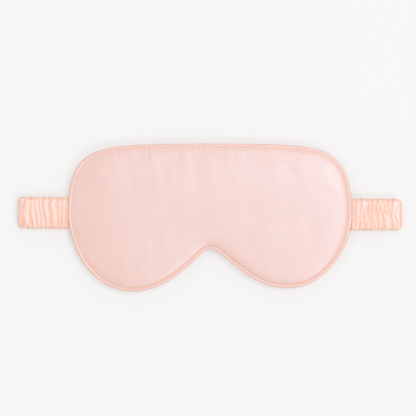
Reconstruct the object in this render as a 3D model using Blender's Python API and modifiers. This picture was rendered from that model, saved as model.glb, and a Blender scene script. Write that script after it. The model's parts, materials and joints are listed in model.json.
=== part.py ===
"""Sleep eye mask: a padded, piped fabric mask and its gathered elastic strap.

Every size below is in millimetres; objects are written out in metres.  X runs along the
width of the mask, Y points to its top edge, Z points up.  The mask lies face up on its
strap, which is folded behind it, and the strap rests on z = 0.
"""

import math

import bpy
import numpy as np
from mathutils import Vector
from mathutils.geometry import interpolate_bezier

METRES_PER_MM = 0.001

# Outer edge of the mask, right half, as Bezier knots from the top middle down to the nose
# notch: knot, handle towards the previous knot, handle towards the next knot.
OUTLINE_KNOTS = [
    ((0, 54), None, (37, 54)),                  # middle of the brow edge
    ((78, 50), (65, 53.5), (96, 45.5)),         # shoulder
    ((105, 2.5), (105, 33.5), (105, -21.5)),    # widest point, where the strap leaves
    ((57.5, -54), (87.5, -54), (39, -54)),      # bottom of the cheek lobe
    ((23, -41), (27, -44), (10, -31.5)),        # flank of the nose notch
    ((0, -24), (5, -24), None),                 # top of the nose notch
]
OUTLINE_STEPS = [9, 7, 10, 5, 5]   # even steps taken between neighbouring knots
MASK_CENTRE = (0, 8)                # every part of the edge can be seen from here

# Insets are measured inwards from the outer edge of the mask.
PIPING_RADIUS = 1.6
PIPING_SKIN = 0.25
PIPING_Z = 8.4
CORD_RADIUS = 1.0
FLANGE_LIFT = 0.4                   # outer faces of the cover's two edges, from PIPING_Z
SEAM_INSET = 3.2                    # the panels are folded in here, against the piping
ALLOWANCE_INSET = 7.5               # inner edge of the seam allowances
DEEP_INSET = 16                     # the padding is almost at its full depth here
CORE = "core"                       # the innermost ring
CORE_FRACTION = 0.45                # its size, as a share of the ring at DEEP_INSET
PANEL_CLOTH = 0.4
LINER_CLOTH = 0.3
THREAD_RADIUS = 0.15
THREAD_INSET = 4.2
THREAD_Z = 9.1

STRAP_Y = 2
STRAP_WIDTH = 24
STRAP_THICKNESS = 4.0               # at the crest of a gather
GATHER_DEPTH = 0.6                  # thickness lost between two crests
GATHER_NARROWING = 0.8              # width lost between two crests
GATHER_PITCH = 6
STRAP_CLOTH = 0.6                   # casing fabric, doubled up by its gathers
STRAP_BAND = STRAP_WIDTH / 2 + 6    # half height of the edge that makes room for the strap
ELASTIC_WIDTH = 20
ELASTIC_THICKNESS = 1.2

GAP = 0.3                           # between two neighbouring strap segments
CENTRE_HALF = 30                    # the middle segment reaches this far each way
FOLD_X = 138                        # axis of the fold behind the mask
FOLD_Z = STRAP_THICKNESS + GAP
FOLD_STEPS = 8
UPPER_Z = FOLD_Z + GAP              # underside of the short upper run
TAPER_X = 112                       # the upper run flattens from here to the seam
END_X = 105.2
END_THICKNESS = 1.6
END_ELASTIC_X = 110.5
SEAM_X = 104.5                      # axis on which the strap's sewn-in end bends
SEAM_Z = 6.2

TAIL_X = (97.4, 103.8)
TAIL_THICKNESS = 0.65
TACK_RADIUS = 0.2
TACK_Z = 7.0
TACK_X = (98.4, 101)
TACK_POINTS = 9
TACK_REACH = 10                     # half length of the row of zigzags

# Each body's pieces have their origin on the hinge that carries the body.
CENTRE_ORIGIN = (0, STRAP_Y, 0)
MASK_ORIGIN = (SEAM_X, STRAP_Y, SEAM_Z)

COLLECTION = "sleep_eye_mask"
SIDES = ((1, "right"), (-1, "left"))

# Colour (linear RGB), roughness
SATIN_FRONT = ("satin_front", (0.90, 0.67, 0.61), 0.42)
SATIN_BACK = ("satin_back", (0.88, 0.64, 0.58), 0.45)
SATIN_PIPING = ("satin_piping", (0.93, 0.62, 0.51), 0.38)
SATIN_STRAP = ("satin_strap", (0.91, 0.58, 0.49), 0.42)
WADDING = ("wadding", (0.92, 0.91, 0.88), 0.95)
BLACKOUT = ("blackout_cloth", (0.02, 0.02, 0.02), 0.9)
COTTON = ("cotton_cord", (0.85, 0.82, 0.76), 0.9)
ELASTIC = ("woven_elastic", (0.86, 0.84, 0.80), 0.8)
THREAD = ("sewing_thread", (0.90, 0.62, 0.54), 0.6)


# ---------------------------------------------------------------- scene helpers

def start_scene():
    for existing in list(bpy.data.objects):
        bpy.data.objects.remove(existing, do_unlink=True)
    collection = bpy.data.collections.new(COLLECTION)
    bpy.context.scene.collection.children.link(collection)


def find_material(look):
    name, colour, roughness = look
    if name in bpy.data.materials:
        return bpy.data.materials[name]
    material = bpy.data.materials.new(name)
    material.use_nodes = True
    shader = material.node_tree.nodes["Principled BSDF"]
    shader.inputs["Base Color"].default_value = (*colour, 1)
    shader.inputs["Roughness"].default_value = roughness
    shader.inputs["Metallic"].default_value = 0
    return material


def place(name, data, origin, look):
    """Link an object whose local zero is `origin`."""
    item = bpy.data.objects.new(name, data)
    item.location = Vector(origin) * METRES_PER_MM
    data.materials.append(find_material(look))
    bpy.data.collections[COLLECTION].objects.link(item)
    return item


def surface(name, rows, origin, look, around=True, hubs=(), flip=False):
    """Quads between rows of equal length.

    `around` closes each row on itself; a hub, at row 0 or -1, closes that row with a fan of
    triangles; `flip` turns the faces over.
    """
    size = len(rows[0])
    points = [point for row in rows for point in row]
    faces = []
    for row in range(len(rows) - 1):
        for step in range(size if around else size - 1):
            here = row * size + step
            after = row * size + (step + 1) % size
            faces.append((here, after, after + size, here + size))
    for row in hubs:
        start = (row % len(rows)) * size
        for step in range(size):
            edge = (start + step, start + (step + 1) % size)
            faces.append((*edge[::-1 if row == 0 else 1], len(points)))
        points.append((*MASK_CENTRE, rows[row][0][2]))
    if flip:
        faces = [face[::-1] for face in faces]
    mesh = bpy.data.meshes.new(name)
    mesh.from_pydata([(Vector(p) - Vector(origin)) * METRES_PER_MM for p in points], [], faces)
    mesh.shade_smooth()
    mesh.set_sharp_from_angle(angle=math.radians(50))
    return place(name, mesh, origin, look)


def thicken(item, cloth, centred=False):
    """Give an open surface its cloth's thickness, on the inside or to both sides."""
    modifier = item.modifiers.new("cloth", "SOLIDIFY")
    modifier.thickness = cloth * METRES_PER_MM
    modifier.offset = 0 if centred else -1
    modifier.use_even_offset = True


def cord(name, points, origin, look, radius, cyclic, resolution):
    """Round thread or cord through the points."""
    curve = bpy.data.curves.new(name, "CURVE")
    curve.dimensions = "3D"
    curve.bevel_depth = radius * METRES_PER_MM
    curve.bevel_resolution = resolution
    curve.use_fill_caps = not cyclic
    spline = curve.splines.new("POLY")
    spline.points.add(len(points) - 1)
    for control, point in zip(spline.points, points):
        control.co = (*((Vector(point) - Vector(origin)) * METRES_PER_MM), 1)
    spline.use_cyclic_u = cyclic
    return place(name, curve, origin, look)


# ---------------------------------------------------------------- outline of the mask

def even_steps(dense, steps):
    """Points at equal distances along a dense polyline, without its last point."""
    dense = np.array(dense)
    lengths = np.linalg.norm(np.diff(dense, axis=0), axis=1)
    travelled = np.concatenate([[0.0], np.cumsum(lengths)])
    wanted = np.linspace(0.0, travelled[-1], steps + 1)[:-1]
    return list(zip(np.interp(wanted, travelled, dense[:, 0]),
                    np.interp(wanted, travelled, dense[:, 1])))


def mask_outline():
    """The whole outer edge, clockwise from the top middle, and its inward normals."""
    right = []
    for (knot, _, leave), (following, arrive, _), steps in zip(
            OUTLINE_KNOTS, OUTLINE_KNOTS[1:], OUTLINE_STEPS):
        corners = [Vector(point) for point in (knot, leave, arrive, following)]
        right += even_steps(interpolate_bezier(*corners, 200), steps)
    bottom = OUTLINE_KNOTS[-1][0]
    left = [(-x, y) for x, y in right[:0:-1]]
    edge = np.array(right + [bottom] + left, dtype=float)
    along = np.roll(edge, -1, axis=0) - np.roll(edge, 1, axis=0)
    along /= np.linalg.norm(along, axis=1)[:, None]
    return edge, np.column_stack([along[:, 1], -along[:, 0]])


EDGE, INWARD = mask_outline()


def ring(inset, height, height_at_strap=None):
    """The outline moved inwards; the edge beside the strap may have a height of its own."""
    if inset == CORE:
        centre = np.array(MASK_CENTRE)
        flat = centre + (EDGE + INWARD * DEEP_INSET - centre) * CORE_FRACTION
    else:
        flat = EDGE + INWARD * inset
    heights = [height] * len(EDGE)
    if height_at_strap is not None:
        for place_number, (x, y) in enumerate(EDGE):
            if abs(x) > SEAM_X - DEEP_INSET and abs(y - STRAP_Y) < STRAP_BAND:
                heights[place_number] = height_at_strap
    return [(x, y, z) for (x, y), z in zip(flat, heights)]


# ---------------------------------------------------------------- mask

def front_panel():
    """Domed outer fabric, folded in at the seam into a flat allowance."""
    dome = [(CORE, 12.8), (DEEP_INSET, 12.3), (9, 11.7), (5, 11.1), (3.6, 10.6)]
    fold = [(SEAM_INSET, 10.0), (3.5, 9.5), (ALLOWANCE_INSET, 9.5)]
    rows = [ring(*station) for station in dome + fold]
    thicken(surface("front_panel", rows, MASK_ORIGIN, SATIN_FRONT, hubs=[0]), PANEL_CLOTH)


def back_panel():
    """Fabric against the face: flat behind the padding, dipping under the strap's ends."""
    flat = [(CORE, 4.5, 4.5), (DEEP_INSET, 4.6, 4.5), (9, 5.3, 4.5), (5, 6.2, 4.5),
            (3.6, 6.8, 4.6)]
    fold = [(SEAM_INSET, 7.3, 5.0), (3.5, 7.8, 5.55), (ALLOWANCE_INSET, 7.8, 5.55)]
    rows = [ring(*station) for station in flat + fold]
    panel = surface("back_panel", rows, MASK_ORIGIN, SATIN_BACK, hubs=[0], flip=True)
    thicken(panel, PANEL_CLOTH)


def blackout_liner():
    """Opaque cloth laid between the padding and the back panel."""
    rows = [ring(*station) for station in [(CORE, 5.65), (DEEP_INSET, 5.75), (9, 6.45)]]
    thicken(surface("blackout_liner", rows, MASK_ORIGIN, BLACKOUT, hubs=[0]), LINER_CLOTH)


def filling_pad():
    """Soft wadding, cut just inside the seam allowances."""
    top = [(CORE, 12.0), (DEEP_INSET, 11.5), (9.2, 10.7)]
    side = [(8.2, 8.6)]
    bottom = [(9.2, 6.9), (DEEP_INSET, 6.05), (CORE, 5.95)]
    rows = [ring(*station) for station in top + side + bottom]
    surface("filling_pad", rows, MASK_ORIGIN, WADDING, hubs=[0, -1])


def piping_cover():
    """Bias strip wrapped round the cord, both its edges lying together in the seam."""
    meeting = math.asin(FLANGE_LIFT / PIPING_RADIUS)
    angles = np.linspace(meeting, 2 * math.pi - meeting, 8)
    wrap = [(PIPING_RADIUS * (1 + math.cos(a)), PIPING_Z + PIPING_RADIUS * math.sin(a))
            for a in angles]
    upper = (ALLOWANCE_INSET, PIPING_Z + FLANGE_LIFT)
    lower = (ALLOWANCE_INSET, PIPING_Z - FLANGE_LIFT)
    rows = [ring(*station) for station in [upper, *wrap, lower]]
    thicken(surface("piping_cover", rows, MASK_ORIGIN, SATIN_PIPING), PIPING_SKIN)


def piping_cord():
    cord("piping_cord", ring(PIPING_RADIUS, PIPING_Z), MASK_ORIGIN, COTTON, CORD_RADIUS,
         cyclic=True, resolution=1)


def edge_seam_thread():
    """The stitching that closes the mask, just inside the piping."""
    cord("edge_seam_thread", ring(THREAD_INSET, THREAD_Z), MASK_ORIGIN, THREAD, THREAD_RADIUS,
         cyclic=True, resolution=0)


# ---------------------------------------------------------------- strap

def casing_section(side, x, z, width, thickness, up=(0, 1)):
    """Round-edged loop across Y; `up` is the strap's thickness direction in X and Z."""
    half_round = thickness / 2
    half_flat = width / 2 - half_round
    points = []
    for direction in (1, -1):
        for angle in np.linspace(math.pi / 2, -math.pi / 2, 4) * direction:
            lift = half_round * math.sin(angle)
            across = direction * (half_flat + half_round * math.cos(angle))
            points.append((side * (x + up[0] * lift), STRAP_Y + across, z + up[1] * lift))
    return points


def gathered_sections(side, start, stop, base):
    """Sections along X, crest and valley in turn, with both ends on a crest."""
    count = 2 * round(abs(stop - start) / GATHER_PITCH)
    sections = []
    for step, x in enumerate(np.linspace(start, stop, count + 1)):
        thickness = STRAP_THICKNESS - GATHER_DEPTH * (step % 2)
        width = STRAP_WIDTH - GATHER_NARROWING * (step % 2)
        sections.append(casing_section(side, x, base + thickness / 2, width, thickness))
    return sections


def casing(name, sections, origin, inside_out):
    """Gathered fabric tube, open at both ends."""
    thicken(surface(name, sections, origin, SATIN_STRAP, flip=inside_out), STRAP_CLOTH)


def elastic(name, side, path, origin):
    """Flat woven band along a path of X, Z places."""
    rows = [[(side * x, STRAP_Y + y, z) for y in (-ELASTIC_WIDTH / 2, ELASTIC_WIDTH / 2)]
            for x, z in path]
    band = surface(name, rows, origin, ELASTIC, around=False)
    thicken(band, ELASTIC_THICKNESS, centred=True)


def strap_centre():
    sections = gathered_sections(1, -CENTRE_HALF, CENTRE_HALF, 0)
    casing("strap_casing_centre", sections, CENTRE_ORIGIN, inside_out=True)
    middle = STRAP_THICKNESS / 2
    path = [(-CENTRE_HALF, middle), (CENTRE_HALF, middle)]
    elastic("strap_elastic_centre", 1, path, CENTRE_ORIGIN)


def strap_run(side, word):
    """Long lower run, from the middle segment out to the fold."""
    origin = (side * CENTRE_HALF, STRAP_Y, STRAP_THICKNESS)
    start, stop = CENTRE_HALF + GAP, FOLD_X - GAP
    sections = gathered_sections(side, start, stop, 0)
    casing(f"strap_casing_{word}_run", sections, origin, inside_out=side > 0)
    middle = STRAP_THICKNESS / 2
    elastic(f"strap_elastic_{word}_run", side, [(start, middle), (stop, middle)], origin)


def strap_fold(side, word):
    """Half a turn around the fold axis, from the lower run up to the upper run."""
    origin = (side * FOLD_X, STRAP_Y, FOLD_Z)
    radius = GAP + STRAP_THICKNESS / 2
    sections = []
    path = []
    for angle in np.linspace(-math.pi / 2, math.pi / 2, FOLD_STEPS + 1):
        up = (math.cos(angle), math.sin(angle))
        x, z = FOLD_X + radius * up[0], FOLD_Z + radius * up[1]
        sections.append(casing_section(side, x, z, STRAP_WIDTH, STRAP_THICKNESS, up))
        path.append((x, z))
    casing(f"strap_casing_{word}_fold", sections, origin, inside_out=side < 0)
    elastic(f"strap_elastic_{word}_fold", side, path, origin)


def strap_end(side, word):
    """Short upper run, which flattens to a thin edge beside the mask's seam."""
    origin = (side * FOLD_X, STRAP_Y, FOLD_Z)
    near_fold = FOLD_X - GAP
    sections = gathered_sections(side, near_fold, TAPER_X, UPPER_Z)
    sections.append(casing_section(side, END_X, SEAM_Z, STRAP_WIDTH, END_THICKNESS))
    casing(f"strap_casing_{word}_end", sections, origin, inside_out=side < 0)
    middle = UPPER_Z + STRAP_THICKNESS / 2
    path = [(near_fold, middle), (END_ELASTIC_X, middle)]
    elastic(f"strap_elastic_{word}_end", side, path, origin)


def strap_tail(side, word):
    """The strap's flattened end, caught in the seam between piping and back panel."""
    half = STRAP_WIDTH / 2
    rows = [[(side * x, STRAP_Y + y, SEAM_Z) for y in (-half, half)] for x in TAIL_X]
    tail = surface(f"strap_tail_{word}", rows, MASK_ORIGIN, SATIN_STRAP, around=False)
    thicken(tail, TAIL_THICKNESS, centred=True)


def strap_tack(side, word):
    """Zigzag of thread that holds the strap's end."""
    heights = np.linspace(STRAP_Y - TACK_REACH, STRAP_Y + TACK_REACH, TACK_POINTS)
    points = [(side * TACK_X[n % 2], y, TACK_Z) for n, y in enumerate(heights)]
    cord(f"strap_tack_{word}", points, MASK_ORIGIN, THREAD, TACK_RADIUS, cyclic=False,
         resolution=0)


def build():
    start_scene()
    front_panel()
    filling_pad()
    blackout_liner()
    back_panel()
    piping_cord()
    piping_cover()
    edge_seam_thread()
    strap_centre()
    for side, word in SIDES:
        strap_run(side, word)
        strap_fold(side, word)
        strap_end(side, word)
        strap_tail(side, word)
        strap_tack(side, word)


build()
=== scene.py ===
"""Looks of the sleep eye mask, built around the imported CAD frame.

Satin panels over a soft pad, a satin piping cord, and a gathered satin casing over elastic.
Lengths are in metres, in the frame's own axes: X is the width, Y points to the brow, Z up.
"""

import json
import math
import random

import bpy
import numpy as np
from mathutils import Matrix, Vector, noise
from mathutils.geometry import delaunay_2d_cdt
from mathutils.kdtree import KDTree


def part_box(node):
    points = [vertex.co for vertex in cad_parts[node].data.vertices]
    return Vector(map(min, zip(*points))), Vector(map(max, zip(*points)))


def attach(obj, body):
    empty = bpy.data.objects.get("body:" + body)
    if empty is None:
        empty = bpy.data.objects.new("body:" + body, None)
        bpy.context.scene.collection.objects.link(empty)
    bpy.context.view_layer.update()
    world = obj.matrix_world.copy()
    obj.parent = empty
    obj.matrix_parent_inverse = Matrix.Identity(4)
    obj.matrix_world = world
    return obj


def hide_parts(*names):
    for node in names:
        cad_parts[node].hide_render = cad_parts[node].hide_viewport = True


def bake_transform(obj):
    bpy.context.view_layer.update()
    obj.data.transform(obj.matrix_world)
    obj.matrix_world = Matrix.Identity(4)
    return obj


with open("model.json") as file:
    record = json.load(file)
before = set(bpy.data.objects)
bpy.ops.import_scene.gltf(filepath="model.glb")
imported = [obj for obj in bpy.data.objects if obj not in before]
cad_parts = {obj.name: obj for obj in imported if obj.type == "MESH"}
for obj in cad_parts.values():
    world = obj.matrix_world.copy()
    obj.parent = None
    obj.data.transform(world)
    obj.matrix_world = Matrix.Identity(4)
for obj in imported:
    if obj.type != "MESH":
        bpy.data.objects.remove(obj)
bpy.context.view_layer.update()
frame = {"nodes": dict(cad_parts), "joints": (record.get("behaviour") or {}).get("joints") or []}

MM = 0.001
SIDES = ((1, "right"), (-1, "left"))


# ---------------------------------------------------------------- sizes from the frame

def middle(node):
    """Middle of a CAD node's box."""
    low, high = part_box(node)
    return (low + high) / 2


def span(node):
    """Size of a CAD node's box along each axis."""
    low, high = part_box(node)
    return high - low


def joint_place(name):
    """A place on a joint's axis."""
    found = [joint for joint in frame["joints"] if joint["name"] == name]
    return Vector(found[0]["pos_m"])


PIPING_Z = middle("piping_cord").z
CORD_RADIUS = span("piping_cord").z / 2
FRONT_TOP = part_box("front_panel")[1].z
BACK_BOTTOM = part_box("back_panel")[0].z
LINER_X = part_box("blackout_liner")[1].x
TAIL_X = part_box("strap_tail_right")[0].x
STRAP_Y = middle("strap_casing_centre").y
STRAP_HALF = span("strap_casing_right_end").y / 2
STRAP_THICKNESS = span("strap_casing_centre").z
ELASTIC_HALF = span("strap_elastic_centre").y / 2
ELASTIC_THICKNESS = span("strap_elastic_centre").z
FOLD_AXIS = joint_place("right_fold_open")
SEAM_AXIS = joint_place("right_seam_bend")
FOLD_RADIUS = FOLD_AXIS.z - STRAP_THICKNESS / 2
UPPER_Z = FOLD_AXIS.z + FOLD_RADIUS
UPPER_LENGTH = FOLD_AXIS.x - SEAM_AXIS.x
TURN_LENGTH = math.pi * FOLD_RADIUS
HALF_STRAP = UPPER_LENGTH + TURN_LENGTH + FOLD_AXIS.x

STRAP_SLOPE = -0.0052               # the strap lies a little askew below the mask
STRAP_RAISE = 0.27 * MM


def strap_line(x):
    """Y of the strap's middle line at a place along the width."""
    return STRAP_Y + STRAP_RAISE + STRAP_SLOPE * x


# ---------------------------------------------------------------- helpers

CLOTH_PLACE = "cloth_place"         # the mesh attribute that the satin material reads, which also tells where painted warm light goes


def smooth(value, low, high):
    """0 below low, 1 above high, and a smooth rise between them."""
    t = np.clip((np.asarray(value, float) - low) / (high - low), 0.0, 1.0)
    return t * t * (3 - 2 * t)


def waver(x, y, seed):
    """Smooth noise over a plane, about -1 to 1, different for each seed."""
    return noise.noise(Vector((x, y, seed)))


def add_mesh(name, points, faces, material):
    """Make a smooth-shaded mesh object in the scene."""
    mesh = bpy.data.meshes.new(name)
    mesh.from_pydata([tuple(p) for p in points], [], [tuple(f) for f in faces])
    mesh.validate()
    mesh.shade_smooth()
    mesh.materials.append(material)
    item = bpy.data.objects.new(name, mesh)
    bpy.context.scene.collection.objects.link(item)
    return item


def store_cloth(item, places):
    """Keep each point's place on the cloth, and its share clear of painted warm light, for the
    satin material.
    """
    store = item.data.attributes.new(CLOTH_PLACE, "FLOAT_VECTOR", "POINT")
    store.data.foreach_set("vector", np.array(places, np.float32).ravel())


def grid_faces(rows, size, around_rows=False, around_size=True):
    """Quads of a grid whose rows, or whose places in a row, may close on themselves."""
    faces = []
    for row in range(rows if around_rows else rows - 1):
        for step in range(size if around_size else size - 1):
            after = (step + 1) % size
            below = (row + 1) % rows * size
            faces.append((row * size + step, row * size + after, below + after, below + step))
    return faces


# ---------------------------------------------------------------- outline from the frame

MASK_EYE = (0.0, 8 * MM)            # every place of the outline lies in its own direction from here
EDGE_COUNT = 1080
SECTION_REACH = 1.5                 # in cord widths: points farther off are in another section
CURVE_STEPS = 24                    # between two knots, before the even cut
LOBE_SLIP = 1.25 * MM
LOBE_REACH = 14 * MM                # from the middle line to where three quarters of it is reached
LOBE_BAND = (12 * MM, 36 * MM)      # depth below the middle where the slip starts and is full


def cord_knots():
    """Middles of the piping cord's sections, anticlockwise as seen from MASK_EYE."""
    points = np.array([v.co for v in frame["nodes"]["piping_cord"].data.vertices])
    reach = SECTION_REACH * span("piping_cord").z
    sections = []
    while len(points):
        near = np.linalg.norm(points - points[0], axis=1) < reach
        sections.append((points[near].min(axis=0) + points[near].max(axis=0))[:2] / 2)
        points = points[~near]
    sections = np.array(sections)
    angles = np.arctan2(sections[:, 1] - MASK_EYE[1], sections[:, 0] - MASK_EYE[0])
    return sections[np.argsort(angles)]


def sewn(knots):
    """The outline as hand sewing leaves it: the left lobe a little longer than the right."""
    drop = np.tanh(knots[:, 0] / LOBE_REACH) * smooth(-knots[:, 1], *LOBE_BAND)
    return np.column_stack([knots[:, 0], knots[:, 1] + LOBE_SLIP * drop])


def smooth_loop(knots, count):
    """Closed Catmull-Rom curve through the knots, cut into `count` equal steps."""
    before, after = np.roll(knots, 1, axis=0), np.roll(knots, -1, axis=0)
    later = np.roll(knots, -2, axis=0)
    pieces = []
    for t in np.linspace(0, 1, CURVE_STEPS, endpoint=False):
        pieces.append(0.5 * (2 * knots + (after - before) * t
                             + (2 * before - 5 * knots + 4 * after - later) * t ** 2
                             + (3 * knots - before - 3 * after + later) * t ** 3))
    dense = np.stack(pieces, axis=1).reshape(-1, 2)
    dense = np.concatenate([dense, dense[:1]])
    travelled = np.concatenate([[0], np.cumsum(np.linalg.norm(np.diff(dense, axis=0), axis=1))])
    wanted = np.linspace(0, travelled[-1], count, endpoint=False)
    return np.column_stack([np.interp(wanted, travelled, dense[:, k]) for k in (0, 1)])


def inward_normals(loop):
    """Unit normals of an anticlockwise loop, pointing into it."""
    along = np.roll(loop, -1, axis=0) - np.roll(loop, 1, axis=0)
    along /= np.linalg.norm(along, axis=1)[:, None]
    return np.column_stack([-along[:, 1], along[:, 0]])


CORD_LOOP = smooth_loop(sewn(cord_knots()), EDGE_COUNT)
CORD_INWARD = inward_normals(CORD_LOOP)


# ---------------------------------------------------------------- materials

DOWN_SLUBS = (950, 55, 0)           # features per metre of the threads that run up and down
ACROSS_SLUBS = (40, 800, 0)         # and of those that run across
BROAD_PATCHES = (60, 45, 0)
SLUB_DETAIL = 3.0
DOWN_SHARE = 0.65                   # of the up and down threads among all threads
THREAD_SHARE = 0.6                  # of the threads in the shade, the rest is broad patches
SHADE_RANGE = (0.34, 0.66)          # shades between which the deep colour turns pale
CREST_POWER = 1.6                   # how widely the painted warm valley light spreads up the valleys' sides
VALLEY = (1.0, 0.54, 0.34)          # painted warm light, standing in for light bounced between two faces of the same cloth, laid into valleys and beside seams
GLOSS_SPREAD = (-0.06, 0.08)        # added to the roughness of the smoothest and roughest thread
WEAVE = {"Scale": 900, "Distortion": 0.4}
WEAVE_SHARE = 0.05                  # of the weave in the relief
BUMP_STRENGTH = 0.5
SATIN_RELIEF = 0.12 * MM
WOVEN_RELIEF = 0.2 * MM
WOVEN_DETAIL = 4.0
SATIN_SHADER = {
    "IOR": 1.85,
    "Specular IOR Level": 1.0,
    "Subsurface Radius": (1.0, 0.45, 0.28),
    "Subsurface Scale": 1.2 * MM,
    "Sheen Weight": 0.06,
    "Sheen Roughness": 0.4,
    "Sheen Tint": (1.0, 0.8, 0.75, 1),
}


def new_material(name):
    """A material, its node tree and its main shader."""
    material = bpy.data.materials.new(name)
    material.use_nodes = True
    tree = material.node_tree
    return material, tree, tree.nodes["Principled BSDF"]


def link(tree, source, target):
    """Feed one socket from another."""
    tree.links.new(source, target)


def set_inputs(node, values):
    """Set a node's unlinked inputs by name."""
    for name, value in values.items():
        node.inputs[name].default_value = value


def add_node(tree, kind, **values):
    """Add a node and set its own properties."""
    node = tree.nodes.new(kind)
    for key, value in values.items():
        setattr(node, key, value)
    return node


def stretched_noise(tree, coordinates, scale, detail=2.0):
    """Noise in streaks: `scale` is its features per metre along each axis."""
    mapping = add_node(tree, "ShaderNodeMapping")
    set_inputs(mapping, {"Scale": scale})
    link(tree, coordinates, mapping.inputs["Vector"])
    texture = add_node(tree, "ShaderNodeTexNoise")
    set_inputs(texture, {"Scale": 1.0, "Detail": detail})
    link(tree, mapping.outputs["Vector"], texture.inputs["Vector"])
    return texture.outputs["Fac"]


def combine(tree, operation, first, second):
    """Arithmetic on two values, each a number or a socket."""
    node = add_node(tree, "ShaderNodeMath", operation=operation)
    for socket, value in zip(node.inputs, (first, second)):
        if isinstance(value, (int, float)):
            socket.default_value = value
        else:
            link(tree, value, socket)
    return node.outputs["Value"]


def weighted(tree, first, second, share):
    """Mean of two sockets in which the first has this share."""
    return combine(tree, "ADD", combine(tree, "MULTIPLY", first, share),
                   combine(tree, "MULTIPLY", second, 1 - share))


def remap(tree, value, source=(0.0, 1.0), result=(0.0, 1.0)):
    """A socket's values carried from one range to another."""
    node = add_node(tree, "ShaderNodeMapRange")
    set_inputs(node, {"From Min": source[0], "From Max": source[1],
                      "To Min": result[0], "To Max": result[1]})
    link(tree, value, node.inputs["Value"])
    return node.outputs["Result"]


def mix_colour(tree, factor, first, second):
    """Colour between two, each a tuple or a socket, by a factor socket."""
    node = add_node(tree, "ShaderNodeMix", data_type="RGBA")
    link(tree, factor, node.inputs["Factor"])
    for name, value in (("A", first), ("B", second)):
        socket = [s for s in node.inputs if s.name == name and s.type == "RGBA"][0]
        if isinstance(value, tuple):
            socket.default_value = (*value, 1)
        else:
            link(tree, value, socket)
    return [s for s in node.outputs if s.type == "RGBA"][0]


def add_bump(tree, shader, height, relief):
    """Fine relief: `relief` is the depth of the height's whole range."""
    bump = add_node(tree, "ShaderNodeBump")
    set_inputs(bump, {"Strength": BUMP_STRENGTH, "Distance": relief})
    link(tree, height, bump.inputs["Height"])
    link(tree, bump.outputs["Normal"], shader.inputs["Normal"])


def satin(name, pale, deep, roughness=0.4, glow=0.4, gloss=(0.4, 0.75, 1.0)):
    """Slubbed silk satin: pale and deep are the colour's range over streaks.

    The mesh's attribute CLOTH_PLACE holds places on the cloth in X and Y, and in Z 0 in a fold's
    valley or a seam and 1 on open cloth.
    Towards 0 the colour is painted with VALLEY, the warm light bounced between faces of the cloth.
    """
    material, tree, shader = new_material(name)
    source = add_node(tree, "ShaderNodeAttribute", attribute_name=CLOTH_PLACE)
    coordinates = source.outputs["Vector"]
    down = stretched_noise(tree, coordinates, DOWN_SLUBS, SLUB_DETAIL)
    across = stretched_noise(tree, coordinates, ACROSS_SLUBS, SLUB_DETAIL)
    broad = stretched_noise(tree, coordinates, BROAD_PATCHES)
    threads = weighted(tree, down, across, DOWN_SHARE)
    shade = remap(tree, weighted(tree, threads, broad, THREAD_SHARE), source=SHADE_RANGE)
    colour = mix_colour(tree, shade, deep, pale)
    parts = add_node(tree, "ShaderNodeSeparateXYZ")
    link(tree, coordinates, parts.inputs["Vector"])
    # painted warm light: towards valleys and seams the colour turns to VALLEY
    crest = combine(tree, "POWER", parts.outputs["Z"], CREST_POWER)
    link(tree, mix_colour(tree, crest, VALLEY, colour), shader.inputs["Base Color"])
    rough = remap(tree, threads, result=[roughness + change for change in GLOSS_SPREAD])
    link(tree, rough, shader.inputs["Roughness"])
    weave = add_node(tree, "ShaderNodeTexWave", wave_type="BANDS", bands_direction="DIAGONAL")
    set_inputs(weave, WEAVE)
    link(tree, coordinates, weave.inputs["Vector"])
    fine = combine(tree, "MULTIPLY", weave.outputs["Fac"], WEAVE_SHARE)
    add_bump(tree, shader, combine(tree, "ADD", threads, fine), SATIN_RELIEF)
    set_inputs(shader, SATIN_SHADER)
    set_inputs(shader, {"Specular Tint": (*gloss, 1.0), "Subsurface Weight": glow})
    return material


def woven(name, colour, dark, scale, roughness):
    """Plain woven or knitted band, wadding or cord: mottled, with a relief that follows."""
    material, tree, shader = new_material(name)
    coordinates = add_node(tree, "ShaderNodeTexCoord").outputs["Object"]
    mottle = stretched_noise(tree, coordinates, (scale, scale, scale), WOVEN_DETAIL)
    link(tree, mix_colour(tree, mottle, dark, colour), shader.inputs["Base Color"])
    add_bump(tree, shader, mottle, WOVEN_RELIEF)
    set_inputs(shader, {"Roughness": roughness})
    return material


# One satin in three copies: the piping's is painted a little warmer, and the strap's warmer and
# brighter, for light bounced in its curve and gathers
SATIN_PANEL = satin("satin_panel", (0.865, 0.556, 0.455), (0.835, 0.521, 0.42), roughness=0.44)
SATIN_PIPING = satin("satin_piping", (0.90, 0.545, 0.435), (0.87, 0.51, 0.40))
SATIN_STRAP = satin("satin_strap", (0.95, 0.60, 0.475), (0.93, 0.56, 0.43), glow=0.8,
                    gloss=(0.53, 0.72, 0.96))
WADDING = woven("wadding", (0.93, 0.92, 0.9), (0.82, 0.81, 0.78), 900, 0.95)
BLACKOUT = woven("blackout_cloth", (0.03, 0.03, 0.032), (0.015, 0.015, 0.016), 3000, 0.9)
COTTON = woven("cotton_cord", (0.86, 0.83, 0.78), (0.7, 0.67, 0.62), 2500, 0.9)
ELASTIC = woven("woven_elastic", (0.88, 0.86, 0.82), (0.7, 0.68, 0.64), 1500, 0.8)
THREAD = woven("sewing_thread", (0.92, 0.66, 0.58), (0.8, 0.52, 0.44), 4000, 0.6)


# ---------------------------------------------------------------- piping

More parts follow.
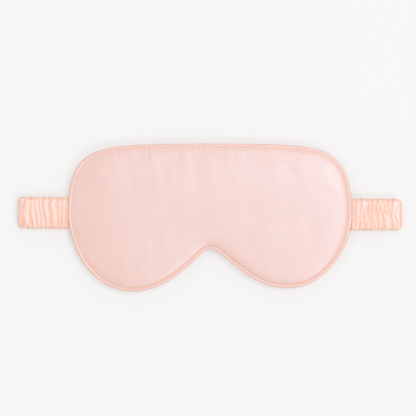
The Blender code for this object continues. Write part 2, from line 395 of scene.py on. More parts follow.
TUBE_RADIUS = 1.6 * MM
PIPING_SIDES = 20
PIPING_STEPS = 1440
KNOT_SKIP = 9                       # the tube passes through every ninth place of the cord's loop
SWELLS_PER_METRE = 260              # of the tube, broad and low
SWELL_HEIGHT = 0.04 * MM
PINCHES_PER_METRE = 900             # where the bias strip turns
PINCH_HEIGHT = 0.03 * MM
PINCH_TURN = 0.8                    # how much a pinch changes round the tube
PAINTED_SEAM_LIGHT = 0.4                     # how far cloth beside a seam is painted with the valleys' warm light
SEAM_FACING = (0.1, 0.6)            # cosines to the seam's side between which the painted seam light comes in
CORD_STRANDS = 3
STRAND_SIDES = 8
STRAND_SHARE = 0.46                 # a strand's radius over the cord's
CORD_LAY = 4.5 * MM                 # length of cord in which its strands turn once

PIPING_LOOP = smooth_loop(CORD_LOOP[::KNOT_SKIP], PIPING_STEPS)
PIPING_INWARD = inward_normals(PIPING_LOOP)
PIPING_STEP = float(np.linalg.norm(PIPING_LOOP[1] - PIPING_LOOP[0]))


def make_piping():
    """Satin tube over the cord, pinched here and there where the bias strip turns."""
    points, cloth = [], []
    for row, ((x, y), (nx, ny)) in enumerate(zip(PIPING_LOOP, PIPING_INWARD)):
        place = Vector((x, y, 0))
        for side in range(PIPING_SIDES):
            angle = 2 * math.pi * side / PIPING_SIDES
            swell = noise.noise(place * SWELLS_PER_METRE + Vector((angle, 0, 3)))
            pinch = noise.noise(place * PINCHES_PER_METRE + Vector((0, angle * PINCH_TURN, 9)))
            radius = TUBE_RADIUS + SWELL_HEIGHT * swell + PINCH_HEIGHT * pinch
            reach = radius * math.cos(angle)
            points.append((x + nx * reach, y + ny * reach, PIPING_Z + radius * math.sin(angle)))
            bias = row * PIPING_STEP + angle * TUBE_RADIUS
            # painted warm light on the tube's side towards the panels
            side_clear_of_painted_light = 1 - PAINTED_SEAM_LIGHT * float(smooth(math.cos(angle), *SEAM_FACING))
            cloth.append((bias, row * PIPING_STEP - angle * TUBE_RADIUS, side_clear_of_painted_light))
    faces = grid_faces(PIPING_STEPS, PIPING_SIDES, around_rows=True)
    tube = add_mesh("satin_piping", points, [face[::-1] for face in faces], SATIN_PIPING)
    store_cloth(tube, cloth)
    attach(tube, "mask")
    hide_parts("piping_cover")


def make_cord():
    """Twisted cotton cord inside the piping's tube."""
    strand = STRAND_SHARE * CORD_RADIUS
    orbit = CORD_RADIUS - strand
    turns = round(PIPING_STEPS * PIPING_STEP / CORD_LAY)
    angle = 2 * math.pi * np.arange(STRAND_SIDES)[None, :] / STRAND_SIDES
    tube = [face[::-1] for face in grid_faces(PIPING_STEPS, STRAND_SIDES, around_rows=True)]
    points, faces = [], []
    for number in range(CORD_STRANDS):
        share = np.arange(PIPING_STEPS) / PIPING_STEPS * turns + number / CORD_STRANDS
        twist = 2 * math.pi * share[:, None]
        reach = orbit * np.cos(twist) + strand * np.cos(angle)
        height = PIPING_Z + orbit * np.sin(twist) + strand * np.sin(angle)
        flat = PIPING_LOOP[:, None, :] + PIPING_INWARD[:, None, :] * reach[:, :, None]
        faces += [tuple(vertex + len(points) for vertex in face) for face in tube]
        points += np.concatenate([flat, height[:, :, None]], axis=2).reshape(-1, 3).tolist()
    cord = add_mesh("twisted_cord", points, faces, COTTON)
    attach(cord, "mask")
    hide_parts("piping_cord")


# ---------------------------------------------------------------- panels

TUCK = 0.6 * MM                     # the panels' edges lie this far inside the cord's line
RIM_RINGS = (0.12, 0.25, 0.4, 0.6, 0.85, 1.2, 1.7, 2.3, 3.0, 3.8, 4.7, 5.7, 6.8, 8.0)     # mm
FULL_RINGS = 11                     # the rings after these have half as many points
PANEL_STEP = 1.9 * MM
PANEL_GAP = 0.6                     # of a step, between the last ring and the inner points
ROW_RATIO = 0.87                    # distance between the rows of inner points, over the step
INSIDE_ONLY = 1                     # the triangulation's output type: triangles inside the edge
SAME_POINT = 1e-7
CHUNK = 1500                        # places measured at once, to spare memory

FRONT_EDGE_Z = PIPING_Z + 1.25 * MM
BACK_EDGE_Z = PIPING_Z - 0.9 * MM
FIRM_RISE = ((0.22, 0.6), (0.48, 2.4), (0.30, 14))      # share of the height, and length in mm
SLACK_RISE = ((0.05, 0.6), (0.17, 4), (0.78, 18))
BACK_RISE = ((0.30, 0.35), (0.40, 4), (0.30, 10))
SLACK_SIDE = (55 * MM, 95 * MM)     # the wadding thins out gently beside these parts of the edge,
SLACK_BROW = (15 * MM, 45 * MM)     # and steeply beside the rest

STRAP_ROOM = 0.85 * MM              # how far above its lowest place the back panel may lie where
                                    # the strap is sewn in
STRAP_ROOM_SIDES = (STRAP_HALF - 1.6 * MM, STRAP_HALF - 0.2 * MM)
STRAP_ROOM_REACH = (SEAM_AXIS.x - 16 * MM, SEAM_AXIS.x - 7 * MM)

BROW_HEIGHT = (30 * MM, 50 * MM)    # where the brow's tension comes in and is full
BUSY_X = 26 * MM                    # how far left of the middle the tension is highest
BUSY_REACH = (22 * MM, 40 * MM)
SLACK_TENSION = 0.18
BROW_TENSION = 0.22
BUSY_TENSION = 0.6

PUCKER_SEED = 7
PUCKER_DEPTH = 0.45 * MM
PUCKER_STRENGTH = (0.35, 1.0)
PUCKER_WIDTH = (0.42, 0.8)          # mm
PUCKER_REACH = (2.0, 6.5)           # mm, where the tension is full
PUCKER_LEAN = 0.12
PUCKER_SPACING = (1.3 * MM, 2.9 * MM)
PUCKER_ZONE = 14 * MM               # no pucker reaches farther in than this
PUCKER_CUT = 3                      # in widths: a pucker has faded to nothing this far beside it
PUCKER_START = 0.5 * MM             # depth over which they deepen from the seam
BACK_PUCKERS = 0.7                  # of their depth, on the back panel

STREAKS_PER_METRE = (170, 22)
STREAK_SLANT = 25
CREASES_PER_METRE = (75, 38)
WAVES_PER_METRE = 42
STREAK_HEIGHT = 0.11                # mm, as the next two
CREASE_HEIGHT = 0.05
WAVE_HEIGHT = 0.13
STREAK_FLOOR = 0.35                 # how strong the streaks stay far from the brow
BROW_Y = 52 * MM
BROW_FADE = 26 * MM
WRINKLE_START = (0.5 * MM, 9 * MM)


def staggered_grid(edge, step, gap):
    """Points in staggered rows inside an edge, and farther than a gap from the cord's line."""
    low, high = edge.min(axis=0), edge.max(axis=0)
    places = []
    for row, y in enumerate(np.arange(low[1], high[1], step * ROW_RATIO)):
        for x in np.arange(low[0] + step / 2 * (row % 2), high[0], step):
            places.append((x, y))
    places = np.array(places)
    return places[seam_places(places)[0] > gap]


def triangulated(edge, others):
    """Flat points, the edge's first, and the triangles between them inside the edge."""
    border = list(range(len(edge)))
    edges = [(a, (a + 1) % len(edge)) for a in border]
    flat = [Vector(p) for p in np.concatenate([edge] + others)]
    points, _, faces, _, _, _ = delaunay_2d_cdt(flat, edges, [border], INSIDE_ONLY, SAME_POINT)
    return np.array([tuple(p) for p in points]), [tuple(face) for face in faces]


def patch_layout():
    """Flat points and faces of a panel: rings beside the seam, then a staggered grid."""
    edge = CORD_LOOP + CORD_INWARD * TUCK
    rings = [edge + CORD_INWARD * ring * MM for ring in RIM_RINGS]
    rings = [ring if number < FULL_RINGS else ring[::2] for number, ring in enumerate(rings, 1)]
    gap = TUCK + RIM_RINGS[-1] * MM + PANEL_STEP * PANEL_GAP
    return triangulated(edge, rings + [staggered_grid(edge, PANEL_STEP, gap)])


def seam_places(places):
    """Distance of flat places from the cord's line, positive inside, and their nearest step."""
    distance = np.empty(len(places))
    nearest = np.empty(len(places), int)
    for start in range(0, len(places), CHUNK):
        chunk = places[start:start + CHUNK]
        offset = chunk[:, None, :] - CORD_LOOP[None, :, :]
        squared = (offset ** 2).sum(axis=2)
        near = squared.argmin(axis=1)
        rows = np.arange(len(chunk))
        side = (offset[rows, near] * CORD_INWARD[near]).sum(axis=1)
        distance[start:start + CHUNK] = np.sqrt(squared[rows, near]) * np.sign(side)
        nearest[start:start + CHUNK] = near
    return distance, nearest


def rise(depth, height, curves):
    """Rise from a panel's edge inwards: each curve has its share of the height and a length."""
    total = np.zeros(len(depth))
    for share, length in curves:
        total += height * share * (1 - np.exp(-depth / (length * MM)))
    return total


def strap_closeness(flat):
    """1 where the strap's sewn-in end passes below the panel's edge, 0 away from it."""
    offset = np.abs(flat[:, 1] - strap_line(flat[:, 0]))
    across = 1 - smooth(offset, *STRAP_ROOM_SIDES)
    return across * smooth(np.abs(flat[:, 0]), *STRAP_ROOM_REACH)


def seam_tension(step):
    """How hard the seam is pulled in at a step of the edge, from 0 to 1: most along the brow."""
    x, y = CORD_LOOP[step]
    brow = float(smooth(y, *BROW_HEIGHT))
    busy = 1 - float(smooth(abs(x + BUSY_X), *BUSY_REACH))
    return SLACK_TENSION + brow * (BROW_TENSION + BUSY_TENSION * busy)


def puckers(depth, nearest):
    """Small tucks that run in from the seam, of uneven length and spacing."""
    chooser = random.Random(PUCKER_SEED)
    step = float(np.linalg.norm(CORD_LOOP[1] - CORD_LOOP[0]))
    length = step * EDGE_COUNT
    along = nearest * step
    total = np.zeros(len(depth))
    place = 0.0
    close = depth < PUCKER_ZONE
    while place < length:
        tension = seam_tension(int(place / step) % EDGE_COUNT)
        deep = chooser.uniform(*PUCKER_STRENGTH) * tension
        width = chooser.uniform(*PUCKER_WIDTH) * MM
        reach = chooser.uniform(*PUCKER_REACH) * MM * (0.5 + 0.5 * tension)
        lean = chooser.gauss(0, PUCKER_LEAN)
        offset = (along - place - lean * depth + length / 2) % length - length / 2
        near = close & (np.abs(offset) < PUCKER_CUT * width)
        total[near] -= deep * np.exp(-(offset[near] / width) ** 2 - (depth[near] / reach) ** 2)
        place += chooser.uniform(*PUCKER_SPACING)
    return total * PUCKER_DEPTH * (1 - np.exp(-depth / PUCKER_START))


def wrinkles(flat, depth):
    """Faint streaks down from the brow, and slow unevenness of the wadding below the cloth."""
    result = np.zeros(len(flat))
    for place, (x, y) in enumerate(flat):
        streak = waver(x * STREAKS_PER_METRE[0] + y * STREAK_SLANT, y * STREAKS_PER_METRE[1], 1.3)
        crease = 1 - abs(waver(x * CREASES_PER_METRE[0], y * CREASES_PER_METRE[1], 6.2)) * 2
        wave = waver(x * WAVES_PER_METRE, y * WAVES_PER_METRE, 3.1)
        brow = math.exp(-max(0.0, BROW_Y - y) / BROW_FADE)
        result[place] = (STREAK_HEIGHT * streak * (STREAK_FLOOR + brow) + CREASE_HEIGHT * crease
                         + WAVE_HEIGHT * wave)
    return result * MM * smooth(depth, *WRINKLE_START)


def kept_part(kept, faces):
    """Faces whose corners are all kept, numbered among the kept points."""
    number = np.cumsum(kept) - 1
    return [tuple(int(number[v]) for v in face) for face in faces if all(kept[list(face)])]


def front_crown(flat, depth):
    """Height of the front panel as the wadding alone would shape it."""
    crown = FRONT_TOP - FRONT_EDGE_Z
    firm = rise(depth, crown, FIRM_RISE)
    slack = rise(depth, crown, SLACK_RISE)
    share = np.maximum(smooth(-flat[:, 0], *SLACK_SIDE), smooth(flat[:, 1], *SLACK_BROW))
    return FRONT_EDGE_Z + firm + (slack - firm) * share


def back_crown(flat, depth):
    """Height of the back panel as the wadding alone would shape it: it follows the depth alone."""
    return BACK_EDGE_Z - rise(depth, BACK_EDGE_Z - BACK_BOTTOM, BACK_RISE)


# ---------------------------------------------------------------- cloth simulation of the panels

SIM_STEP = 3 * MM                   # spacing of the simulated cloth's points
SIM_EDGE_SKIP = 6                   # it keeps every sixth point of the panels' edge
SIM_GAP = 0.7                       # of a step, between its edge and its inner points
SIM_FRAMES = 16
CUT_SPARE = 0.004                   # how much larger the cloth is cut than its frame
WADDING_PRESSURE = 0.2
CLOTH_SETTINGS = {
    "quality": 6,
    "mass": 0.05,
    "tension_stiffness": 20,
    "compression_stiffness": 20,
    "shear_stiffness": 8,
    "bending_stiffness": 0.02,
    "shrink_min": -CUT_SPARE,
    "use_pressure": True,
    "uniform_pressure_force": WADDING_PRESSURE,
}
SETTLE_CAP = 0.12 * MM              # the movement levels off towards this
SETTLE_SOFTNESS = 3                 # in caps: a movement this large gives three quarters of the cap
SETTLE_START = (0.3 * MM, 3 * MM)   # depth over which the movement comes in
SPREAD_NEIGHBOURS = 12
SPREAD_REACH = 0.7 * SIM_STEP


def simulation_layout():
    """Coarse flat points and faces of a panel, its edge first, and the edge's number of points."""
    edge = (CORD_LOOP + CORD_INWARD * TUCK)[::SIM_EDGE_SKIP]
    inner = staggered_grid(edge, SIM_STEP, TUCK + SIM_STEP * SIM_GAP)
    return *triangulated(edge, [inner]), len(edge)


def add_cloth(item, edge_count):
    """Make an object a cloth that is pinned at its edge and pressed outwards."""
    pinned = item.vertex_groups.new(name="seam")
    pinned.add(list(range(edge_count)), 1.0, "REPLACE")
    cloth = item.modifiers.new("cloth", "CLOTH")
    for key, value in CLOTH_SETTINGS.items():
        setattr(cloth.settings, key, value)
    cloth.settings.vertex_group_mass = pinned.name
    cloth.settings.effector_weights.gravity = 0
    cloth.collision_settings.use_collision = False
    cloth.point_cache.frame_end = SIM_FRAMES


def settle(name, crown, turn):
    """Coarse panel places, and how far its cloth moves up when it settles over the wadding.

    The seam is pinned, the cloth is cut a little larger than its frame, and the wadding
    presses it outwards, so that it buckles as slack satin does.
    """
    flat, faces, edge_count = simulation_layout()
    depth = np.maximum(seam_places(flat)[0] - TUCK, 0)
    start = np.column_stack([flat, crown(flat, depth)])
    item = add_mesh(name, start, [face[::turn] for face in faces], SATIN_PANEL)
    add_cloth(item, edge_count)
    scene = bpy.context.scene
    for number in range(1, SIM_FRAMES + 1):
        scene.frame_set(number)
    settled = item.evaluated_get(bpy.context.evaluated_depsgraph_get()).data.vertices
    moved = np.array([vertex.co.z for vertex in settled]) - start[:, 2]
    scene.frame_set(1)
    bpy.data.objects.remove(item)
    return flat, moved


def spread(flat, coarse, moved):
    """Carry the simulated movement over to a fine panel's places, capped and smoothed."""
    capped = SETTLE_CAP * np.tanh(moved / (SETTLE_SOFTNESS * SETTLE_CAP))
    tree = KDTree(len(coarse))
    for number, (x, y) in enumerate(coarse):
        tree.insert((x, y, 0), number)
    tree.balance()
    result = np.zeros(len(flat))
    for place, (x, y) in enumerate(flat):
        near = tree.find_n((x, y, 0), SPREAD_NEIGHBOURS)
        weights = [math.exp(-(away / SPREAD_REACH) ** 2) for _, _, away in near]
        total = sum(weight * capped[number] for weight, (_, number, _) in zip(weights, near))
        result[place] = total / sum(weights)
    return result


def settled_crown(name, crown, turn, flat, depth):
    """Height of a panel after its cloth has settled over the wadding."""
    height = crown(flat, depth)
    coarse, moved = settle(name, crown, turn)
    return height + spread(flat, coarse, moved) * smooth(depth, *SETTLE_START)


# ---------------------------------------------------------------- mask

# depth from the seam over which the painted seam light fades out of the panels
PAINTED_SEAM_LIGHT_LENGTH = 0.9 * MM
PAD_INSET = 5.5 * MM
PAD_ROUNDING = 3.5 * MM
PAD_CLEARANCE = 0.55 * MM
LINER_ROOM = 0.6 * MM               # between the pad and the back panel, besides the clearance
LINER_CLEARANCE = 0.55 * MM


def panel_heights(flat, depth, nearest):
    """Heights of the front and of the back panel over flat places."""
    front = settled_crown("front_cloth", front_crown, 1, flat, depth)
    front += puckers(depth, nearest) + wrinkles(flat, depth)
    back = settled_crown("back_cloth", back_crown, -1, flat, depth)
    back -= puckers(depth, nearest) * BACK_PUCKERS
    tucked = np.minimum(back, BACK_BOTTOM + STRAP_ROOM)
    near = strap_closeness(flat)
    return front, back * (1 - near) + tucked * near


def make_panels():
    """The two satin panels, and the wadding and the lining that follow them."""
    flat, faces = patch_layout()
    distance, nearest = seam_places(flat)
    depth = np.maximum(distance - TUCK, 0)
    front, back = panel_heights(flat, depth, nearest)
    # painted warm light in the panels' cloth beside the seam, fading with depth
    cloth_clear_of_painted_light = 1 - PAINTED_SEAM_LIGHT * np.exp(-depth / PAINTED_SEAM_LIGHT_LENGTH)
    for name, height, turn in (("front_satin", front, 1), ("back_satin", back, -1)):
        points = np.column_stack([flat, height])
        shell = add_mesh(name, points, [face[::turn] for face in faces], SATIN_PANEL)
        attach(shell, "mask")
        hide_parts(name.replace("satin", "panel"))
        store_cloth(shell, np.column_stack([flat, cloth_clear_of_painted_light]))
    make_pad(flat, faces, depth, front, back)
    make_liner(flat, faces, depth, back)


def make_pad(flat, faces, depth, front, back):
    """Crowned wadding between the panels, its edge rounded off inside the seam allowances."""
    kept = depth > PAD_INSET
    upper = kept_part(kept, faces)
    count = int(kept.sum())
    centre = (front + back) / 2
    edge = smooth(depth, PAD_INSET, PAD_INSET + PAD_ROUNDING) ** 0.5
    top = centre + (front - PAD_CLEARANCE - centre) * edge
    bottom = centre + (back + PAD_CLEARANCE + LINER_ROOM - centre) * edge
    points = np.concatenate([np.column_stack([flat, top])[kept],
                             np.column_stack([flat, bottom])[kept]])
    lower = [tuple(v + count for v in face[::-1]) for face in upper]
    pairs = dict.fromkeys(pair for face in upper for pair in zip(face, face[1:] + face[:1]))
    walls = [(b, a, a + count, b + count) for a, b in pairs if (b, a) not in pairs]
    pad = add_mesh("wadding_pad", points, upper + lower + walls, WADDING)
    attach(pad, "mask")
    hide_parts("filling_pad")


def make_liner(flat, faces, depth, back):
    """Black cloth between the wadding and the back panel."""
    inset = flat[:, 0].max() - LINER_X
    kept = depth > inset
    places = flat[kept]
    inner = kept_part(kept, faces)
    points = np.column_stack([places, back[kept] + LINER_CLEARANCE])
    liner = add_mesh("blackout_lining", points, [face[::-1] for face in inner], BLACKOUT)
    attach(liner, "mask")
    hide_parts("blackout_liner")


# ---------------------------------------------------------------- strap

STRAP_STEP = 0.3 * MM
TOP_PLACES = 40                     # points across each face of the casing
END_STARTS = {1: -1.3 * MM, -1: -0.2 * MM}      # from the axis on which the end bends
TAIL_STOPS = {1: -1.2 * MM, -1: 0.3 * MM}
TAIL_FULLNESS = 0.97
FOLD_OVERLAP = 0.3 * MM
THIN_END = 1.4 * MM                 # thickness of the casing in the seam
SWELL_LENGTH = 0.7 * MM             # from the sewn-in edge to the run's own height
SWELLS = {1: (-0.25 * MM, 0.5 * MM), -1: (0.1 * MM, 0.9 * MM)}  # where each face fills out
PIPING_REACH = 1.4                  # of half the strap's width, along which the piping is followed
GATHER_SEEDS = {1: 2.0, -1: 90.0}
UNDERSIDE_SEED = 40
FOLD_WIDTHS = (3.2 * MM, 5.0 * MM)  # of two sets of gathers, which take turns and merge
SET_SEED = 7                        # between the two sets
SEAM_GATHERS = 4.2 * MM             # the gathers this close to the mask run along its edge
FREE_GATHERS = (0.4 * SEAM_GATHERS, 2.2 * SEAM_GATHERS)     # where they start to run freely, and do
SEAM_CREST = 0.8 * MM               # how early a crest comes beside the seam
BROAD_SHIFT = 2.5 * MM
SHORT_SHIFT = 0.7 * MM
LEAN = 3.6 * MM                     # along the strap, from its middle to its edge
MEAN_DEPTH = 0.75                   # of the valleys, between nothing and 1
DEPTH_CHANGE = 0.6
LEAST_DEPTH = 0.25
CREST_ROUNDNESS = 0.85
SET_SOFTNESS = 0.12                 # the less, the more suddenly one set takes over from the other
FINE_RIPPLE = 0.1
BROAD_WAVER = (16 * MM, 0.75, 0)    # length along the strap, rate across it and seed, as below
SHORT_WAVER = (5 * MM, 1.6, 3)
LEAN_WAVER = (22 * MM, 0.0, 5)
DEPTH_WAVER = (4 * MM, 0.9, 11)
TURN_WAVER = (8 * MM, 1.1, 19)
FINE_WAVER = (0.9 * MM, 1.7, 23)
VALLEY_SHARE = 0.64                 # of the thickness, left at the bottom of a deep valley
EDGE_PULL = 1.0 * MM                # width lost on each side at a deep valley
EDGE_WAVER = 0.3 * MM
EDGE_WAVER_LENGTH = 6 * MM
EDGE_WAVER_LOSS = 0.4               # added to it, so that it mostly takes width and rarely gives it
EDGE_TAPER = 4                      # the power by which the casing thins and narrows at its edges
UNDERSIDE_FADE = 8                  # and by which the underside's gathers meet the top's there
CORNER_PULLS = {1: 1.5 * MM, -1: 0.8 * MM}  # width lost on each side where the strap turns over
CORNER_SHARE = 0.96                 # below 1, so that the corner's curve never stands upright
FOLD_ROUNDNESS = 0.58               # 1 is a half circle, and less is squarer
FOLD_PAINTED_PALENESS = 0.7                 # how far the turn's valleys trade their painted warm light for the crests' colour: the turn is painted paler against its shade

ELASTIC_START = 6 * MM              # from the axis on which the strap's end bends
ELASTIC_STEP = 0.8 * MM
ELASTIC_SECTION = ((-1, 0), (-0.97, 1), (0.97, 1), (1, 0), (0.97, -1), (-0.97, -1))

ACROSS = np.sin(np.linspace(-math.pi / 2, math.pi / 2, TOP_PLACES))


def strap_waver(kind, along, across, seed, more=0):
    """One of the gathers' slow changes at a place along and across, about -1 to 1."""
    length, rate, own_seed = kind
    return waver(along / length, across * rate, seed + own_seed + more)


def crest_share(along, across, seed):
    """1 on a gather's crest and 0 in its valley, at a place along and across (-1 to 1)."""
    free = float(smooth(along, *FREE_GATHERS))
    sets = []
    for number, width in enumerate(FOLD_WIDTHS):
        other = SET_SEED * number
        shift = (BROAD_SHIFT * strap_waver(BROAD_WAVER, along, across, seed, other)
                 + SHORT_SHIFT * strap_waver(SHORT_WAVER, along, across, seed, other))
        lean = LEAN * across * strap_waver(LEAN_WAVER, along, across, seed, other)
        phase = (along + SEAM_CREST + free * (shift + lean)) / width
        crest = 0.5 - 0.5 * math.cos(2 * math.pi * phase)
        deep = MEAN_DEPTH + DEPTH_CHANGE * strap_waver(DEPTH_WAVER, along, across, seed, number)
        deep = min(1.0, max(LEAST_DEPTH, deep))
        sets.append(1 - deep * (1 - crest ** CREST_ROUNDNESS))
    turn = float(smooth(strap_waver(TURN_WAVER, along, across, seed),
                        -SET_SOFTNESS, SET_SOFTNESS))
    fine = FINE_RIPPLE * strap_waver(FINE_WAVER, along, across, seed)
    return min(1.0, max(0.0, sets[0] + (sets[1] - sets[0]) * turn * free + fine))


def strap_path(along):
    """Middle and thickness direction of the right half at a distance from its seam, in X and Z."""
    if along < UPPER_LENGTH:
        z = SEAM_AXIS.z + (UPPER_Z - SEAM_AXIS.z) * float(smooth(along, 0, SWELL_LENGTH))
        return (SEAM_AXIS.x + along, z), (0, 1)
    if along < UPPER_LENGTH + TURN_LENGTH:
        angle = math.pi / 2 - (along - UPPER_LENGTH) / FOLD_RADIUS
        across, height = math.cos(angle), math.sin(angle)
        up = (max(0.0, across) ** FOLD_ROUNDNESS,
              math.copysign(abs(height) ** FOLD_ROUNDNESS, height))
        return (FOLD_AXIS.x + FOLD_RADIUS * up[0], FOLD_AXIS.z + FOLD_RADIUS * up[1]), up
    return (FOLD_AXIS.x - (along - UPPER_LENGTH - TURN_LENGTH), STRAP_THICKNESS / 2), (0, -1)


def piping_line(side):
    """The cord's places beside the strap on one side, as rising Y and how far out each lies."""
    beside = np.abs(CORD_LOOP[:, 1] - STRAP_Y) < PIPING_REACH * STRAP_HALF
    places = CORD_LOOP[beside & (CORD_LOOP[:, 0] * side > 0)]
    places = places[np.argsort(places[:, 1])]
    return places[:, 1], np.abs(places[:, 0])


PIPING_LINES = {side: piping_line(side) for side, _ in SIDES}


def setback(side, v):
    """How much nearer the mask's middle the piping lies at a place across than at its farthest."""
    rising, out = PIPING_LINES[side]
    return out.max() - np.interp(strap_line(side * SEAM_AXIS.x) + v * STRAP_HALF, rising, out)


def casing_place(side, face, v, along, fullness):
    """One point of the gathered tube, its share of a crest, and how far the strap has turned."""
    (x, z), up = strap_path(along)
    turned = max(0.0, x - FOLD_AXIS.x) / FOLD_RADIUS
    pull = CORNER_PULLS[side] * (1 - math.sqrt(1 - CORNER_SHARE * min(1.0, turned) ** 2))
    seed = GATHER_SEEDS[side] + UNDERSIDE_SEED * (face < 0) * (1 - v ** UNDERSIDE_FADE)
    share = crest_share(along, v, seed)
    swell = smooth(along + setback(side, v), *SWELLS[face])
    half = (THIN_END + (STRAP_THICKNESS - THIN_END) * float(swell)) / 2 * fullness
    full = VALLEY_SHARE + (1 - VALLEY_SHARE) * share
    lift = face * half * (1 - abs(v) ** EDGE_TAPER) ** 0.5 * full
    uneven = waver(along / EDGE_WAVER_LENGTH, 0.0, math.copysign(5, v) + side)
    edge = pull + EDGE_PULL * (1 - share) + EDGE_WAVER * (uneven + EDGE_WAVER_LOSS)
    width = STRAP_HALF - max(0.0, edge) * v ** EDGE_TAPER
    place = side * (x + up[0] * lift)
    return (place, strap_line(place) + v * width, z + up[1] * lift), share, min(1.0, turned)


def casing_piece(name, side, start, stop, fullness=1.0):
    """Gathered tube between two distances from the seam, its sewn edges meeting at one side."""
    stations = np.linspace(start, stop, max(3, round((stop - start) / STRAP_STEP) + 1))
    points, cloth = [], []
    for along in stations:
        for face, places in ((1, ACROSS), (-1, ACROSS[-2::-1])):
            for v in places:
                point, share, turned = casing_place(side, face, v, along, fullness)
                points.append(point)
                # in Z the crest's share, which keeps the colour clear of painted warm valley light;
                # the turn's valleys are painted paler against its shade
                cloth.append((along, v * STRAP_HALF + (face - 1) * STRAP_HALF,
                              share + (1 - share) * FOLD_PAINTED_PALENESS * turned))
    faces = grid_faces(len(stations), 2 * TOP_PLACES - 1, around_size=False)
    if side < 0:
        faces = [face[::-1] for face in faces]
    piece = add_mesh(name, points, faces, SATIN_STRAP)
    store_cloth(piece, cloth)
    return piece


def elastic_piece(name, side, start, stop):
    """Flat woven band inside the casing, with slightly rounded edges."""
    stations = np.linspace(start, stop, max(2, round((stop - start) / ELASTIC_STEP) + 1))
    points = []
    for along in stations:
        (x, z), up = strap_path(along)
        for v, n in ELASTIC_SECTION:
            lift = n * ELASTIC_THICKNESS / 2
            place = side * (x + up[0] * lift)
            points.append((place, strap_line(place) + v * ELASTIC_HALF, z + up[1] * lift))
    size = len(ELASTIC_SECTION)
    faces = grid_faces(len(stations), size)
    faces += [tuple(range(size))[::-1], tuple(range(len(points) - size, len(points)))]
    if side < 0:
        faces = [face[::-1] for face in faces]
    piece = add_mesh(name, points, faces, ELASTIC)
    return piece


def blend_strap(side, word, casings, bands):
    """Tie the left end's casing and each end's elastic to their end's body, and fix the other
    pieces in place.
    """
    end, fold, back = casings
    if side > 0:
        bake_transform(end)
    else:
        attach(end, "left_end")
    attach(bands[0], f"{word}_end")
    for piece in (fold, bands[1]):
        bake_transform(piece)
    for piece in (back, bands[2]):
        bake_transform(piece)


def make_strap(side, word):
    """One half of the strap: its sewn-in tail, casing and elastic, from the seam to the middle."""
    turned = UPPER_LENGTH + TURN_LENGTH
    end = casing_piece(f"satin_strap_{word}_end", side, END_STARTS[side], UPPER_LENGTH)
    tail = casing_piece(f"satin_strap_{word}_tail", side, TAIL_X - SEAM_AXIS.x,
                        TAIL_STOPS[side], TAIL_FULLNESS)
    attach(tail, "mask")
    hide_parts(f"strap_tail_{word}")
    fold = casing_piece(f"satin_strap_{word}_fold", side, UPPER_LENGTH - FOLD_OVERLAP,
                        turned + FOLD_OVERLAP)
    back = casing_piece(f"satin_strap_{word}_back", side, turned, HALF_STRAP)
    bands = [elastic_piece(f"elastic_{word}_end", side, ELASTIC_START, UPPER_LENGTH),
             elastic_piece(f"elastic_{word}_fold", side, UPPER_LENGTH, turned),
             elastic_piece(f"elastic_{word}_back", side, turned, HALF_STRAP)]
    blend_strap(side, word, (end, fold, back), bands)
    for material, pieces in (("casing", (end, fold, back)), ("elastic", bands)):
        for piece, part in zip(pieces, ("end", "fold", "run")):
            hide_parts(f"strap_{material}_{word}_{part}")
        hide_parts(f"strap_{material}_centre")


def dress_stitches():
    """Give the stitches, the only CAD nodes that stay, their thread."""
    for name in ("edge_seam_thread", "strap_tack_right", "strap_tack_left"):
        node = frame["nodes"][name]
        node.data.materials.clear()
        node.data.materials.append(THREAD)


# ---------------------------------------------------------------- studio

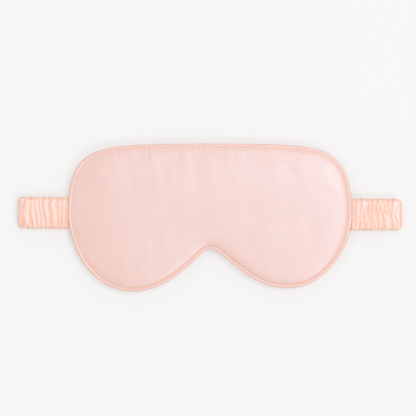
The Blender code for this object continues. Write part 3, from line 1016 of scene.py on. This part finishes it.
VIEW_WIDTH = 306.5 * MM             # floor seen across the picture, at the mask's height
CAMERA_HEIGHT = 1.2
CAMERA_PLACE = (-1.5 * MM, 6.4 * MM)
SENSOR_MM = 36.0
FLOOR_HALF = 2.0
FLOOR_GREY = 0.38                   # how much of the floor's white is the light that falls on it
FLOOR_GLOW = 0.485                  # and how much it gives out itself, as a lit table does
FLOOR_ROUGHNESS = 0.9
WORLD_STRENGTH = 0.69
WHITE = (1.0, 1.0, 1.0, 1)
LIGHTS = (                          # name, place, width and watts
    ("softbox", (1.12, 0.70, 3.55), 1.40, 43.5),
    ("key", (1.45, -1.70, 3.00), 1.00, 24.0),
    ("fill", (-1.90, 0.30, 2.60), 1.00, 6.0),
    ("rim", (0.10, 2.30, 1.30), 1.00, 3.2),
)


def make_floor():
    """White table top."""
    material, _, shader = new_material("studio_floor")
    set_inputs(shader, {
        "Base Color": (FLOOR_GREY, FLOOR_GREY, FLOOR_GREY, 1),
        "Roughness": FLOOR_ROUGHNESS,
        "Specular IOR Level": 0.0,
        "Emission Color": WHITE,
        "Emission Strength": FLOOR_GLOW,
    })
    half = FLOOR_HALF
    corners = [(-half, -half, 0), (half, -half, 0), (half, half, 0), (-half, half, 0)]
    add_mesh("studio_floor", corners, [(0, 1, 2, 3)], material)


def add_area_light(name, place, size, power):
    """Round lamp that points at the frame's origin, below the mask."""
    data = bpy.data.lights.new(name, "AREA")
    data.shape = "DISK"
    data.size = size
    data.energy = power
    item = bpy.data.objects.new(name, data)
    item.location = place
    item.rotation_euler = (-Vector(place)).to_track_quat("-Z", "Y").to_euler()
    bpy.context.scene.collection.objects.link(item)


def add_camera(scene):
    """Camera that looks straight down and sees VIEW_WIDTH of the mask's level."""
    camera = bpy.data.cameras.new("camera")
    camera.sensor_width = SENSOR_MM
    mask_height = (FRONT_TOP + PIPING_Z) / 2
    camera.lens = SENSOR_MM * (CAMERA_HEIGHT - mask_height) / VIEW_WIDTH
    item = bpy.data.objects.new("camera", camera)
    item.location = (*CAMERA_PLACE, CAMERA_HEIGHT)
    scene.collection.objects.link(item)
    scene.camera = item


def make_studio():
    """White surroundings, four lamps and the camera."""
    scene = bpy.context.scene
    world = bpy.data.worlds.new("studio")
    scene.world = world
    world.use_nodes = True
    set_inputs(world.node_tree.nodes["Background"], {"Color": WHITE, "Strength": WORLD_STRENGTH})
    for name, place, size, power in LIGHTS:
        add_area_light(name, place, size, power)
    scene.view_settings.view_transform = "Standard"
    scene.view_settings.look = "None"
    add_camera(scene)


make_studio()
make_floor()
make_piping()
make_cord()
make_panels()
for strap_side, strap_word in SIDES:
    make_strap(strap_side, strap_word)
dress_stitches()
